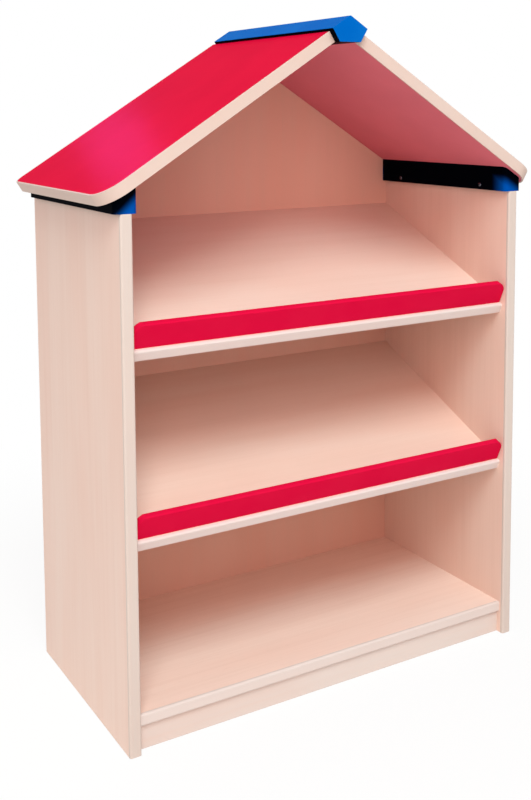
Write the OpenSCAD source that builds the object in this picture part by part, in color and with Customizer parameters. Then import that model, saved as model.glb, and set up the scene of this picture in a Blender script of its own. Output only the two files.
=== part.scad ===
// House shaped bookcase for children: two side panels, a level base shelf, two display shelves
// that slope down to the front behind red book stops, a gable back and a pitched red roof that
// rests on two blue eave blocks and a blue ridge beam.
// X runs from the left panel to the right one, Y from the front to the back and Z up. The origin
// is on the floor, under the middle of the whole piece.

/* [Case] */
// Width over the two side panels
case_w = 870; // [700:10:1300]
// Depth of the side panels
case_d = 430; // [320:10:560]
// Height of the side panels that shows, from the floor to the eave blocks
wall_h = 936; // [900:1:1200]
// Thickness of the side panels, shelves, plinth and roof boards
board_t = 22; // [20:1:25]
// Thickness of the maple edging on the front edges
edging_t = 6; // [4:1:8]
// Radius that softens the edging
edging_r = 4; // [2:0.5:6]
// Least flat that is left beside a softened edge
edge_land = 0.5; // [0.3:0.1:1]

/* [Base shelf and plinth] */
// Height of the base shelf's top
base_h = 67; // [56:1:100]
// How far the base shelf's front lies behind the side panels' front
base_inset = 10; // [0:1:20]
// How far the plinth's front lies behind the side panels' front
plinth_inset = 17; // [0:1:60]

/* [Display shelves] */
// Height of the middle shelf's front top edge
middle_h = 371; // [330:1:430]
// Slope of the middle shelf, down to the front, in degrees
middle_slope = 24.5; // [16:0.5:28]
// How far the upper shelf's top lies below the eave blocks, at the back
upper_back_drop = 53; // [10:1:120]
// Slope of the upper shelf, down to the front, in degrees
upper_slope = 24.5; // [16:0.5:28]

/* [Book stops] */
// Height of a book stop above its shelf
stop_h = 48; // [30:1:70]
// Thickness of a book stop
stop_t = 12; // [8:1:14]
// Radius of a book stop's two top corners
stop_corner_r = 22; // [5:1:28]
// Radius that softens a book stop's top edge
stop_edge_r = 3; // [1:0.5:4]
// How far a book stop's face lies behind its shelf's front edge
stop_setback = 8; // [4:1:12]
// How far a book stop's top edge lies behind the side panels' front
stop_inset = 2; // [0:1:20]
// Depth of the groove that a book stop stands in
stop_groove = 5; // [3:1:8]

/* [Back panel] */
// Thickness of the back panel
back_t = 8; // [6:1:10]
// How far the back panel's rear face lies in front of the side panels' back edge
back_inset = 10; // [5:1:25]
// Depth of the grooves in the side panels that hold the back panel
back_groove = 8; // [5:1:10]

/* [Eave blocks] */
// How far an eave block stands out past each face of its side panel
block_over = 10; // [8:1:20]
// Height of an eave block's inner face
block_h = 50; // [46:1:80]
// Depth of the groove in an eave block that sits over the side panel
block_groove = 18; // [16:1:20]
// Radius of an eave block's upright front corners
block_corner_r = 10; // [3:1:14]

/* [Roof] */
// Pitch of the roof, in degrees
roof_pitch = 32; // [28:0.5:34]
// How far the eave reaches out past the side panel
eave_reach = 40; // [30:1:90]
// How far the roof reaches out in front of the side panels
roof_front = 14; // [0:1:50]
// Radius of the roof boards' front corners
roof_corner_r = 50; // [8:1:60]
// How far the roof boards' back edge lies in front of the side panels' back edge
roof_rear_inset = 0; // [0:1:20]
// Radius of the roof boards' back corners
roof_back_r = 18; // [6:1:40]
// Thickness of the maple edging round a roof board
roof_edging_t = 3; // [2:0.5:4]
// Thickness of the red laminate on both faces of a roof board
laminate_t = 1; // [0.8:0.1:1.5]

/* [Ridge beam] */
// Width of the ridge beam across its shoulders
beam_w = 75; // [70:1:110]
// How far the shoulders stand proud of the roof's top face
beam_proud = 6; // [2:1:12]
// How far the beam reaches out in front of the roof boards
beam_front = 16; // [0:1:40]
// How far the beam stops short of the roof boards' back edge
beam_back = 12; // [0:1:20]
// Radius of the beam's top edge
beam_tip_r = 4; // [1:1:8]
// Radius of the beam's shoulders
beam_shoulder_r = 1; // [0.5:0.5:3]

/* [Dowels] */
// Diameter of the beech dowels
dowel_d = 8; // [6:1:8]
// Length of a dowel that joins a shelf or the plinth to a side panel
dowel_l = 35; // [30:1:40]
// Depth of a dowel in a side panel
dowel_in_panel = 12; // [8:1:14]
// Length of a dowel that stands between the base shelf and the plinth
plinth_dowel_l = 25; // [20:1:28]
// Length of a dowel between a roof board and its eave block
eave_dowel_l = 26; // [22:1:28]
// Length of a dowel between a roof board and the ridge beam
ridge_dowel_l = 40; // [30:1:44]

/* [Cam fittings] */
// Diameter of a cam lock
cam_d = 15; // [12:1:15]
// Height of a cam lock
cam_h = 14; // [13.5:0.5:15]
// Distance of a cam lock's centre from the shelf's end
cam_reach = 34; // [24:1:40]
// Diameter of a connecting bolt's shank and of its head
bolt_d = 6; // [5:0.5:6.5]
// Diameter of a connecting bolt's thread
bolt_thread_d = 5; // [4:0.5:6]
// Diameter of the neck that a cam lock grips
bolt_neck_d = 4; // [3:0.5:4.5]
// Length of the neck
bolt_neck_l = 4; // [3:0.5:5]
// Length of a connecting bolt's head
bolt_head_l = 3; // [2:0.5:3.5]
// Depth of a connecting bolt's thread in a side panel
bolt_in_panel = 11; // [8:1:13]

/* [Screws] */
// Diameter of the wood screws
screw_d = 4; // [3:0.5:4.5]
// Diameter of a countersunk screw head
sunk_head_d = 8; // [7:0.5:9]
// Diameter of the pan heads on the eave blocks
pan_head_d = 9; // [7:0.5:12]
// Height of the pan heads on the eave blocks
pan_head_h = 2.6; // [2:0.1:3.5]
// Length of the pan heads' cross slots
slot_l = 5; // [4:0.5:6]
// Width of the pan heads' cross slots
slot_w = 1.2; // [0.8:0.1:1.6]
// Length of an eave block's screw under its head
block_screw_l = 26; // [20:1:30]
// Height of an eave block's screws above the block's underside
block_screw_rise = 10; // [8:1:12]
// Distance of an eave block's screws from the block's ends
block_screw_inset = 77; // [40:1:100]
// Length of a book stop's screw
stop_screw_l = 35; // [30:1:40]
// Distance of the outer stop screws from the side panels
stop_screw_inset = 90; // [60:5:150]
// Number of screws in a book stop
stop_screw_n = 4; // [2:1:6]
// Length of a back panel's screw
back_screw_l = 25; // [20:1:26]
// How far a back panel's screw lies below the top of the shelf that it enters
back_screw_drop = 13; // [12:1:14]
// Distance of the outer back screws from the side panels
back_screw_inset = 60; // [40:5:120]
// Number of screws from the back panel into each shelf
back_screw_n = 4; // [2:1:6]

/* [Joint places] */
// Distance of the front fittings in a shelf's end from the shelf's front edge
fit_front = 60; // [50:5:80]
// Distance of the rear fittings in a shelf's end from the back panel
fit_rear = 60; // [50:5:80]
// Distance from a cam lock to the dowel beside it
fit_pitch = 32; // [24:1:40]
// Distance of the end dowels in the roof, the beam and the plinth from the ends
end_dowel_inset = 60; // [50:5:90]
// Number of dowels along each roof joint
roof_dowel_n = 4; // [2:1:6]
// Number of dowels between the base shelf and the plinth
plinth_dowel_n = 3; // [2:1:5]

/* [Clearances] */
// Gap round the loose edges of the back panel, in its grooves and under the roof
fit_gap = 0.3; // [0.2:0.1:0.5]
// Radial gap round dowels, bolts and screws
pin_gap = 0.1; // [0.05:0.05:0.2]
// Gap between a book stop's end and the side panel
stop_end_gap = 1.5; // [0.5:0.5:3]

/* [Hidden] */
$fn = 48;
maple = "#e6ccb8";
maple_edge = "#ecd9c6";
red = "#dc1428";
stop_red = "#d81840";
blue = "#0a63d0";
beech = "#d9b98c";
steel = "#b9bcc0";
zinc = "#a7aab0";
bite = 1;

// Places along Y: the whole piece is centred between the beam's front end and the panels' back
front_y = (roof_front + beam_front - case_d) / 2;
rear_y = front_y + case_d;
back_rear_y = rear_y - back_inset;
back_face_y = back_rear_y - back_t;
roof_front_y = front_y - roof_front;
beam_front_y = roof_front_y - beam_front;
roof_rear_y = rear_y - roof_rear_inset;
beam_rear_y = roof_rear_y - beam_back;

// Places along X
outer_x = case_w / 2;
inner_x = outer_x - board_t;
panel_x = (inner_x + outer_x) / 2;
block_inner_x = inner_x - block_over;
block_outer_x = outer_x + block_over;

// The roof's underside: a height over each X, and distances u down the slope from its apex
apex_z = wall_h + block_h + block_inner_x * tan(roof_pitch);
function under_roof(x) = apex_z - abs(x) * tan(roof_pitch);
beam_side = board_t + beam_proud;
beam_foot_x = beam_w / 2 - beam_side * sin(roof_pitch);
beam_foot_z = under_roof(beam_foot_x);
beam_shoulder_z = beam_foot_z + beam_side * cos(roof_pitch);
beam_top_z = beam_shoulder_z + beam_w / 2 * tan(roof_pitch);
roof_start_u = beam_foot_x / cos(roof_pitch);
roof_end_u = (outer_x + eave_reach - board_t * sin(roof_pitch)) / cos(roof_pitch);
panel_u = panel_x / cos(roof_pitch);

// A softened edge is never rounder than the edging or board that it is cut from
front_r = min(edging_r, edging_t - edge_land, board_t / 2 - edge_land);
stop_soft_r = min(stop_edge_r, stop_t / 2 - edge_land);

// Each shelf: the Y and Z of its front top edge, and its slope. A display shelf's front edge lies
// where its leaning book stop needs it, and the upper one is hung from the eave blocks.
function stop_shelf_y(slope) =
    front_y + stop_inset + stop_h * sin(slope) - stop_setback * cos(slope);
upper_y = stop_shelf_y(upper_slope);
upper_h = wall_h - upper_back_drop - (back_face_y - upper_y) * tan(upper_slope);
BASE = [front_y + base_inset, base_h, 0];
MIDDLE = [stop_shelf_y(middle_slope), middle_h, middle_slope];
UPPER = [upper_y, upper_h, upper_slope];
SHELVES = [BASE, MIDDLE, UPPER];
// Distance up a shelf, from its front edge to the back panel, at a depth below its top
function shelf_run(shelf, depth) = (back_face_y - shelf[0] - depth * sin(shelf[2])) / cos(shelf[2]);
function shelf_back_z(shelf) = shelf[1] + (back_face_y - shelf[0]) * tan(shelf[2]);
// Distances up a shelf of its two cam fittings
function fit_runs(shelf) = [fit_front, shelf_run(shelf, board_t / 2) - fit_rear];
function dowel_runs(shelf) = [fit_runs(shelf)[0] + fit_pitch, fit_runs(shelf)[1] - fit_pitch];
// n places at even steps from a to b
function spread(a, b, n) = [for (i = [0 : n - 1]) a + (b - a) * i / (n - 1)];

plinth_h = base_h - board_t;
plinth_y = front_y + plinth_inset;
stop_len = 2 * (inner_x - stop_end_gap);
stop_run = stop_setback + stop_t / 2;
block_dowels_y = spread(front_y + end_dowel_inset, back_face_y - end_dowel_inset, roof_dowel_n);
block_screws_y = [front_y + block_screw_inset, back_rear_y - block_screw_inset];
stop_screws_x = spread(stop_screw_inset - inner_x, inner_x - stop_screw_inset, stop_screw_n);
back_screws_x = spread(back_screw_inset - inner_x, inner_x - back_screw_inset, back_screw_n);
plinth_dowels_x = spread(end_dowel_inset - inner_x, inner_x - end_dowel_inset, plinth_dowel_n);

// Puts children on both sides of the bookcase, the right one as drawn
module both_sides() {
    children();
    mirror([1, 0, 0]) children();
}

// Turns a shape drawn in the Y and Z plane so that it runs along X, centred
module along_x(length) {
    translate([-length / 2, 0, 0]) rotate([90, 0, 90]) linear_extrude(length) children();
}

// Turns a shape drawn in the X and Z plane so that it runs from one Y to another
module along_y(from, to) {
    translate([0, to, 0]) rotate([90, 0, 0]) linear_extrude(to - from) children();
}

// Places children on a shelf: X along it, Y up its slope from the front edge, Z off its top
module on_shelf(shelf) {
    translate([0, shelf[0], shelf[1]]) rotate([shelf[2], 0, 0]) children();
}

// Places children on the right roof slope: X down it from the apex, Z off its underside
module on_slope() {
    translate([0, 0, apex_z]) rotate([0, roof_pitch, 0]) children();
}

// A cylinder that points to +X
module rod_x(d, length) {
    rotate([0, 90, 0]) cylinder(d = d, h = length);
}

// A convex outline whose corners have the given radii, as true arcs. Each rounded corner is cut
// off, and the circle that takes its place is held inside the outline.
module rounded_outline(points, radii) {
    n = len(points);
    function toward(i, j) = (points[j] - points[i]) / norm(points[j] - points[i]);
    function half_angle(i, a, b) = acos(toward(i, a) * toward(i, b)) / 2;
    function centre(i, a, b) = points[i] + (toward(i, a) + toward(i, b))
        / norm(toward(i, a) + toward(i, b)) * radii[i] / sin(half_angle(i, a, b));
    function tangent(i, a, b) = points[i] + toward(i, a) * radii[i] / tan(half_angle(i, a, b));
    difference() {
        polygon(points);
        for (i = [0 : n - 1]) {
            a = (i + n - 1) % n;
            b = (i + 1) % n;
            if (radii[i] > 0)
                polygon([
                    2 * points[i] - centre(i, a, b),
                    tangent(i, a, b),
                    centre(i, a, b),
                    tangent(i, b, a)
                ]);
        }
    }
    intersection() {
        polygon(points);
        for (i = [0 : n - 1])
            if (radii[i] > 0)
                translate(centre(i, (i + n - 1) % n, (i + 1) % n)) circle(r = radii[i]);
    }
}

// A countersunk screw that points to +Z, with its head flush at Z 0
module sunk_screw(length) {
    cylinder(d1 = sunk_head_d, d2 = screw_d, h = (sunk_head_d - screw_d) / 2);
    cylinder(d = screw_d, h = length);
}

// The bore for a countersunk screw
module sunk_bore(length) {
    head = sunk_head_d + 2 * pin_gap;
    bore = screw_d + 2 * pin_gap;
    translate([0, 0, -bite]) cylinder(d = head, h = bite);
    cylinder(d1 = head, d2 = bore, h = (head - bore) / 2);
    cylinder(d = bore, h = length + fit_gap);
}

// ---- Fittings: each set is drawn once, as the pieces themselves or, with gaps, as their bores ----

// The dowels between one shelf and the right panel
module end_dowels(shelf, gap = 0) {
    for (run = dowel_runs(shelf))
        on_shelf(shelf) translate([inner_x + dowel_in_panel - dowel_l - gap * 2, run, -board_t / 2])
            rod_x(dowel_d + 2 * gap, dowel_l + gap * 4);
}

// The connecting bolts between one shelf and the right panel
module end_bolts(shelf, gap = 0) {
    shank_l = cam_reach - cam_d / 2;
    for (run = fit_runs(shelf))
        on_shelf(shelf) translate([inner_x, run, -board_t / 2]) {
            translate([-shank_l, 0, 0]) rod_x(bolt_d + 2 * gap, shank_l);
            translate([-bite, 0, 0]) rod_x(bolt_thread_d + 2 * gap, bolt_in_panel + bite + gap * 2);
            translate([-shank_l - bolt_neck_l, 0, 0]) {
                rod_x(bolt_neck_d + 2 * gap, bolt_neck_l);
                translate([-bolt_head_l, 0, 0]) rod_x(bolt_d + 2 * gap, bolt_head_l);
            }
        }
}

// The cam locks in the underside of one shelf's right end. Their bores start past the underside.
module end_cams(shelf, gap = 0, past = 0) {
    for (run = fit_runs(shelf))
        on_shelf(shelf) translate([inner_x - cam_reach, run, -board_t - past])
            cylinder(d = cam_d + 2 * gap, h = past + cam_h + gap * 2);
}

// Everything that is bored into the right end of one shelf
module shelf_end_bores(shelf) {
    end_dowels(shelf, pin_gap);
    end_bolts(shelf, pin_gap);
    end_cams(shelf, pin_gap, bite);
    // the bolt's shank goes out through the end of the shelf
    for (run = fit_runs(shelf))
        on_shelf(shelf) translate([inner_x - bite, run, -board_t / 2])
            rod_x(bolt_d + 2 * pin_gap, 2 * bite);
}

// The dowels between the plinth and the right panel
module plinth_end_dowels(gap = 0) {
    start_x = inner_x + dowel_in_panel - dowel_l - gap * 2;
    translate([start_x, plinth_y + board_t / 2, plinth_h / 2])
        rod_x(dowel_d + 2 * gap, dowel_l + gap * 4);
}

// The upright dowels between the plinth and the base shelf
module plinth_top_dowels(gap = 0) {
    for (x = plinth_dowels_x)
        translate([x, plinth_y + board_t / 2, plinth_h - plinth_dowel_l / 2 - gap * 2])
            cylinder(d = dowel_d + 2 * gap, h = plinth_dowel_l + gap * 4);
}

// The dowels between the right roof board and its eave block
module right_eave_dowels(gap = 0) {
    in_roof = board_t / 2;
    on_slope()
        for (y = block_dowels_y)
            translate([panel_u, y, in_roof - eave_dowel_l - gap * 2])
                cylinder(d = dowel_d + 2 * gap, h = eave_dowel_l + gap * 4);
}

// The dowels between the right roof board and the ridge beam
module right_ridge_dowels(gap = 0) {
    on_slope()
        for (y = block_dowels_y)
            translate([roof_start_u - ridge_dowel_l / 2 - gap * 2, y, board_t / 2])
                rod_x(dowel_d + 2 * gap, ridge_dowel_l + gap * 4);
}

// Places children at the right eave block's screws, on its inner face
module at_block_screws() {
    for (y = block_screws_y)
        translate([block_inner_x, y, wall_h + block_screw_rise]) children();
}

// The bores for the screws through the right eave block's inner cheek, from clear of its face
module right_block_bores() {
    at_block_screws() translate([-bite, 0, 0])
        rod_x(screw_d + 2 * pin_gap, bite + block_screw_l + 2 * pin_gap);
}

// A domed head that sits against a face, toward -X
module pan_head() {
    slot_depth = pan_head_h / 2;
    dome_r = (pow(pan_head_d / 2, 2) + pow(pan_head_h, 2)) / (2 * pan_head_h);
    rotate([0, -90, 0]) difference() {
        intersection() {
            cylinder(d = pan_head_d, h = pan_head_h);
            translate([0, 0, pan_head_h - dome_r]) sphere(r = dome_r);
        }
        for (turn = [0, 90])
            rotate([0, 0, turn]) translate([-slot_l / 2, -slot_w / 2, pan_head_h - slot_depth])
                cube([slot_l, slot_w, pan_head_h]);
    }
}

// The screws from under one display shelf up into its book stop
module shelf_stop_screws(shelf) {
    on_shelf(shelf)
        for (x = stop_screws_x) translate([x, stop_run, -board_t]) sunk_screw(stop_screw_l);
}

module shelf_stop_bores(shelf) {
    on_shelf(shelf)
        for (x = stop_screws_x) translate([x, stop_run, -board_t]) sunk_bore(stop_screw_l);
}

// The place of each screw from the back panel into one shelf, pointing to the front
module back_screw_places(shelf) {
    for (x = back_screws_x)
        translate([x, back_rear_y, shelf_back_z(shelf) - back_screw_drop])
            rotate([90, 0, 0]) children();
}

// ---- Boards ----

// The right side panel: a board with its front left square for the edging
module right_panel() {
    panel_top = wall_h + block_groove;
    difference() {
        translate([inner_x, front_y + edging_t, 0]) cube([board_t, case_d - edging_t, panel_top]);
        translate([inner_x - bite, back_face_y - fit_gap, plinth_h - fit_gap])
            cube([back_groove + bite, back_t + 2 * fit_gap, panel_top]);
        for (shelf = SHELVES) {
            end_dowels(shelf, pin_gap);
            end_bolts(shelf, pin_gap);
        }
        plinth_end_dowels(pin_gap);
        right_block_bores();
    }
}

// The right panel's maple edging, softened down both front edges, which ends under the block
module right_side_edging() {
    linear_extrude(wall_h)
        rounded_outline([
            [inner_x, front_y],
            [outer_x, front_y],
            [outer_x, front_y + edging_t],
            [inner_x, front_y + edging_t]
        ], [front_r, front_r, 0, 0]);
}

// A shelf's board, from its edging to the back panel, cut upright where it meets the panel
module shelf_board(shelf) {
    difference() {
        on_shelf(shelf) along_x(2 * inner_x)
            polygon([
                [edging_t, 0],
                [shelf_run(shelf, 0), 0],
                [shelf_run(shelf, board_t), -board_t],
                [edging_t, -board_t]
            ]);
        both_sides() shelf_end_bores(shelf);
        back_screw_places(shelf) cylinder(d = screw_d + 2 * pin_gap, h = back_screw_l + fit_gap);
    }
}

// A shelf's maple edging, softened along its top and bottom
module shelf_edging(shelf) {
    on_shelf(shelf) along_x(2 * inner_x)
        rounded_outline(
            [[0, -board_t], [edging_t, -board_t], [edging_t, 0], [0, 0]],
            [front_r, 0, 0, front_r]
        );
}

// The groove across a display shelf that its book stop stands in
module stop_slot(shelf) {
    on_shelf(shelf) translate([-inner_x - bite, stop_setback, -stop_groove])
        cube([2 * (inner_x + bite), stop_t, stop_groove + bite]);
}

module display_shelf(shelf) {
    difference() {
        shelf_board(shelf);
        stop_slot(shelf);
        shelf_stop_bores(shelf);
    }
}

module display_edging(shelf) {
    difference() {
        shelf_edging(shelf);
        stop_slot(shelf);
    }
}

// A book stop: its face has two round top corners, and its section a softened top edge
module book_stop(shelf) {
    half = stop_len / 2;
    difference() {
        on_shelf(shelf) intersection() {
            along_y(stop_setback, stop_setback + stop_t)
                rounded_outline([
                    [-half, -stop_groove],
                    [half, -stop_groove],
                    [half, stop_h],
                    [-half, stop_h]
                ], [0, 0, stop_corner_r, stop_corner_r]);
            along_x(stop_len)
                rounded_outline([
                    [stop_setback, -stop_groove],
                    [stop_setback + stop_t, -stop_groove],
                    [stop_setback + stop_t, stop_h],
                    [stop_setback, stop_h]
                ], [0, 0, stop_soft_r, stop_soft_r]);
        }
        shelf_stop_bores(shelf);
    }
}

// The back panel: its lower part stands in the side grooves, its gable fits between the blocks
module back_outline() {
    low_x = inner_x + back_groove - fit_gap;
    high_x = block_inner_x - fit_gap;
    edge_z = wall_h - fit_gap;
    drop = fit_gap / cos(roof_pitch);
    half = [
        [low_x, plinth_h],
        [low_x, edge_z],
        [high_x, edge_z],
        [high_x, under_roof(high_x) - drop],
        [beam_foot_x, beam_foot_z - drop]
    ];
    polygon(concat(half, [for (i = [4 : -1 : 0]) [-half[i][0], half[i][1]]]));
}

// The right eave block: grooved over the panel, cut to the roof's slope
module right_block() {
    difference() {
        intersection() {
            along_y(front_y, back_rear_y)
                polygon([
                    [block_inner_x, wall_h],
                    [block_outer_x, wall_h],
                    [block_outer_x, under_roof(block_outer_x)],
                    [block_inner_x, under_roof(block_inner_x)]
                ]);
            translate([0, 0, wall_h - bite]) linear_extrude(block_h + 2 * bite)
                rounded_outline([
                    [block_inner_x, front_y],
                    [block_outer_x, front_y],
                    [block_outer_x, back_rear_y],
                    [block_inner_x, back_rear_y]
                ], [block_corner_r, block_corner_r, 0, 0]);
        }
        translate([inner_x, front_y + edging_t, wall_h - bite])
            cube([board_t, case_d, block_groove + bite]);
        right_block_bores();
        right_eave_dowels(pin_gap);
    }
}

// The ridge beam's section: flat foot, sides square to the roof boards, and a pitched top
module beam_outline() {
    rounded_outline([
        [-beam_foot_x, beam_foot_z],
        [beam_foot_x, beam_foot_z],
        [beam_w / 2, beam_shoulder_z],
        [0, beam_top_z],
        [-beam_w / 2, beam_shoulder_z]
    ], [0, 0, beam_shoulder_r, beam_tip_r, beam_shoulder_r]);
}

// The plan of a roof board, drawn in by a margin on its front, eave and back edges
module roof_plan(margin = 0) {
    rounded_outline([
        [roof_start_u, roof_front_y + margin],
        [roof_end_u - margin, roof_front_y + margin],
        [roof_end_u - margin, roof_rear_y - margin],
        [roof_start_u, roof_rear_y - margin]
    ], [0, roof_corner_r - margin, roof_back_r - margin, 0]);
}

// One layer of the right roof board, from one height above its underside to another
module roof_layer(from, to, margin) {
    on_slope() translate([0, 0, from]) linear_extrude(to - from) roof_plan(margin);
}

module right_roof_core() {
    difference() {
        roof_layer(laminate_t, board_t - laminate_t, roof_edging_t);
        right_eave_dowels(pin_gap);
        right_ridge_dowels(pin_gap);
    }
}

module right_roof_liner() {
    difference() {
        roof_layer(0, laminate_t, roof_edging_t);
        right_eave_dowels(pin_gap);
    }
}

module right_roof_edging() {
    on_slope() linear_extrude(board_t) difference() {
        roof_plan();
        roof_plan(roof_edging_t);
    }
}

// ---- The pieces ----

module side_panel_right() {
    color(maple) right_panel();
}

module side_panel_left() {
    color(maple) mirror([1, 0, 0]) right_panel();
}

module side_edging_right() {
    color(maple_edge) right_side_edging();
}

module side_edging_left() {
    color(maple_edge) mirror([1, 0, 0]) right_side_edging();
}

module base_shelf() {
    color(maple) difference() {
        shelf_board(BASE);
        plinth_top_dowels(pin_gap);
    }
}

module base_edging() {
    color(maple_edge) shelf_edging(BASE);
}

module plinth() {
    color(maple) difference() {
        translate([-inner_x, plinth_y, 0]) cube([2 * inner_x, board_t, plinth_h]);
        both_sides() plinth_end_dowels(pin_gap);
        plinth_top_dowels(pin_gap);
    }
}

module middle_shelf() {
    color(maple) display_shelf(MIDDLE);
}

module middle_edging() {
    color(maple_edge) display_edging(MIDDLE);
}

module middle_book_stop() {
    color(stop_red) book_stop(MIDDLE);
}

module upper_shelf() {
    color(maple) display_shelf(UPPER);
}

module upper_edging() {
    color(maple_edge) display_edging(UPPER);
}

module upper_book_stop() {
    color(stop_red) book_stop(UPPER);
}

module back_panel() {
    color(maple) difference() {
        along_y(back_face_y, back_rear_y) back_outline();
        for (shelf = SHELVES) back_screw_places(shelf) sunk_bore(back_screw_l);
    }
}

module eave_block_right() {
    color(blue) right_block();
}

module eave_block_left() {
    color(blue) mirror([1, 0, 0]) right_block();
}

module ridge_beam() {
    color(blue) difference() {
        along_y(beam_front_y, beam_rear_y) beam_outline();
        both_sides() right_ridge_dowels(pin_gap);
    }
}

module roof_board_right() {
    color(maple) right_roof_core();
}

module roof_board_left() {
    color(maple) mirror([1, 0, 0]) right_roof_core();
}

module roof_edging_right() {
    color(maple_edge) right_roof_edging();
}

module roof_edging_left() {
    color(maple_edge) mirror([1, 0, 0]) right_roof_edging();
}

module roof_skin_right() {
    color(red) roof_layer(board_t - laminate_t, board_t, roof_edging_t);
}

module roof_skin_left() {
    color(red) mirror([1, 0, 0]) roof_layer(board_t - laminate_t, board_t, roof_edging_t);
}

module roof_liner_right() {
    color(red) right_roof_liner();
}

module roof_liner_left() {
    color(red) mirror([1, 0, 0]) right_roof_liner();
}

module shelf_dowels() {
    color(beech) both_sides() for (shelf = SHELVES) end_dowels(shelf);
}

module plinth_dowels() {
    color(beech) {
        both_sides() plinth_end_dowels();
        plinth_top_dowels();
    }
}

module eave_dowels() {
    color(beech) both_sides() right_eave_dowels();
}

module ridge_dowels() {
    color(beech) both_sides() right_ridge_dowels();
}

module cam_locks() {
    color(zinc) both_sides() for (shelf = SHELVES) difference() {
        end_cams(shelf);
        end_bolts(shelf, fit_gap);
    }
}

module connecting_bolts() {
    color(steel) both_sides() for (shelf = SHELVES) end_bolts(shelf);
}

module stop_screws() {
    color(steel) for (shelf = [MIDDLE, UPPER]) shelf_stop_screws(shelf);
}

module block_screws() {
    color(steel) both_sides() at_block_screws() {
        rod_x(screw_d, block_screw_l);
        pan_head();
    }
}

module back_screws() {
    color(steel) for (shelf = SHELVES) back_screw_places(shelf) sunk_screw(back_screw_l);
}

side_panel_left();
side_panel_right();
side_edging_left();
side_edging_right();
base_shelf();
base_edging();
plinth();
middle_shelf();
middle_edging();
middle_book_stop();
upper_shelf();
upper_edging();
upper_book_stop();
back_panel();
eave_block_left();
eave_block_right();
ridge_beam();
roof_board_left();
roof_board_right();
roof_edging_left();
roof_edging_right();
roof_skin_left();
roof_skin_right();
roof_liner_left();
roof_liner_right();
shelf_dowels();
plinth_dowels();
eave_dowels();
ridge_dowels();
cam_locks();
connecting_bolts();
stop_screws();
block_screws();
back_screws();
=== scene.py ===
# %% [markdown]
# # A house shaped bookcase
# This is a children's bookcase: maple boards, two sloping display shelves with red book stops,
# and a pitched red roof on blue blocks. Its exact solids were drawn in a CAD program. This
# notebook dresses them in Blender, which means that it softens the arrises, makes the woods,
# lacquers and metals, and lights and frames the piece. Each text cell says what the next bit is
# on the real bookcase, how it could be made, and why this way was chosen.

# %% Load the solids
import functools
import math

import bmesh
import bpy
from mathutils import Matrix, Vector
from mathutils.bvhtree import BVHTree


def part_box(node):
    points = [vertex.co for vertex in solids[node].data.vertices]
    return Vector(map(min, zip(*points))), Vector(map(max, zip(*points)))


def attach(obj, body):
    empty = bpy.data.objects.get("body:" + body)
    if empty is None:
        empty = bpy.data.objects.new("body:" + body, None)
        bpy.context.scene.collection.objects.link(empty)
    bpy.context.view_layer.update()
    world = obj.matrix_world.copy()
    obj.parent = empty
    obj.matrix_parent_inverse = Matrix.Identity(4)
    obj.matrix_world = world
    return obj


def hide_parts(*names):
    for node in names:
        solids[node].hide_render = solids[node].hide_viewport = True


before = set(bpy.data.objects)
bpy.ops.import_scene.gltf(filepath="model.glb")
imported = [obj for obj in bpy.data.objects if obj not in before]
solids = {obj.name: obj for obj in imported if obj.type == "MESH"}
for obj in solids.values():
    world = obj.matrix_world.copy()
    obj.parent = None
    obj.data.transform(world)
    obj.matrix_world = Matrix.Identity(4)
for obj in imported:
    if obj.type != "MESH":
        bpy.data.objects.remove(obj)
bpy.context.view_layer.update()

# %% [markdown]
# ## The camera
# The bookcase is seen from its left, a little above the upper shelf, with the uprights nearly
# parallel. A photographer gets that by keeping the camera almost level and sliding the lens down
# instead of tilting it. In Blender the same slide is the camera's shift. Three turns place it:
# which way it faces, how far it looks down, and a trace of roll.

# %% Place the camera
STAND = (-1.1139, -1.8173, 1.1080)
HEADING, TILT, ROLL = -30.672, 84.498, -0.332
FOCAL_LENGTH = 48.331
SLIDE = (-0.0035, -0.2363)

aim = (
    Matrix.Rotation(math.radians(HEADING), 4, "Z")
    @ Matrix.Rotation(math.radians(TILT), 4, "X")
    @ Matrix.Rotation(math.radians(ROLL), 4, "Z")
)
lens = bpy.data.cameras.new("camera")
lens.lens = FOCAL_LENGTH
lens.shift_x, lens.shift_y = SLIDE
camera = bpy.data.objects.new("camera", lens)
camera.matrix_world = Matrix.Translation(STAND) @ aim
bpy.context.collection.objects.link(camera)
bpy.context.scene.camera = camera
print(f"camera at {STAND} m, {FOCAL_LENGTH:.0f} mm lens, slid by {SLIDE}")

# %% [markdown]
# ## Writing shaders as sums
# A material is a graph of nodes. Wiring each Math node by hand hides the sum that it does, so
# this small class wraps a node's output and lets Python's own + - * build the Math nodes. The
# reflected forms let a plain number stand on the left, as in `1 - wear`. The second class writes
# a whole tree down as calls, one call for each node, and lays the nodes out in columns.


# %% Wires and trees
class Wire:
    """The output of a node, which can stand in a sum."""

    def __init__(self, tree, socket):
        self.tree, self.socket = tree, socket

    def sum(self, operation, first, second):
        return self.tree.node("ShaderNodeMath", {"operation": operation}, {0: first, 1: second})

    def __add__(self, other):
        return self.sum("ADD", self, other)

    def __radd__(self, other):
        return self.sum("ADD", other, self)

    def __sub__(self, other):
        return self.sum("SUBTRACT", self, other)

    def __rsub__(self, other):
        return self.sum("SUBTRACT", other, self)

    def __mul__(self, other):
        return self.sum("MULTIPLY", self, other)


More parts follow.
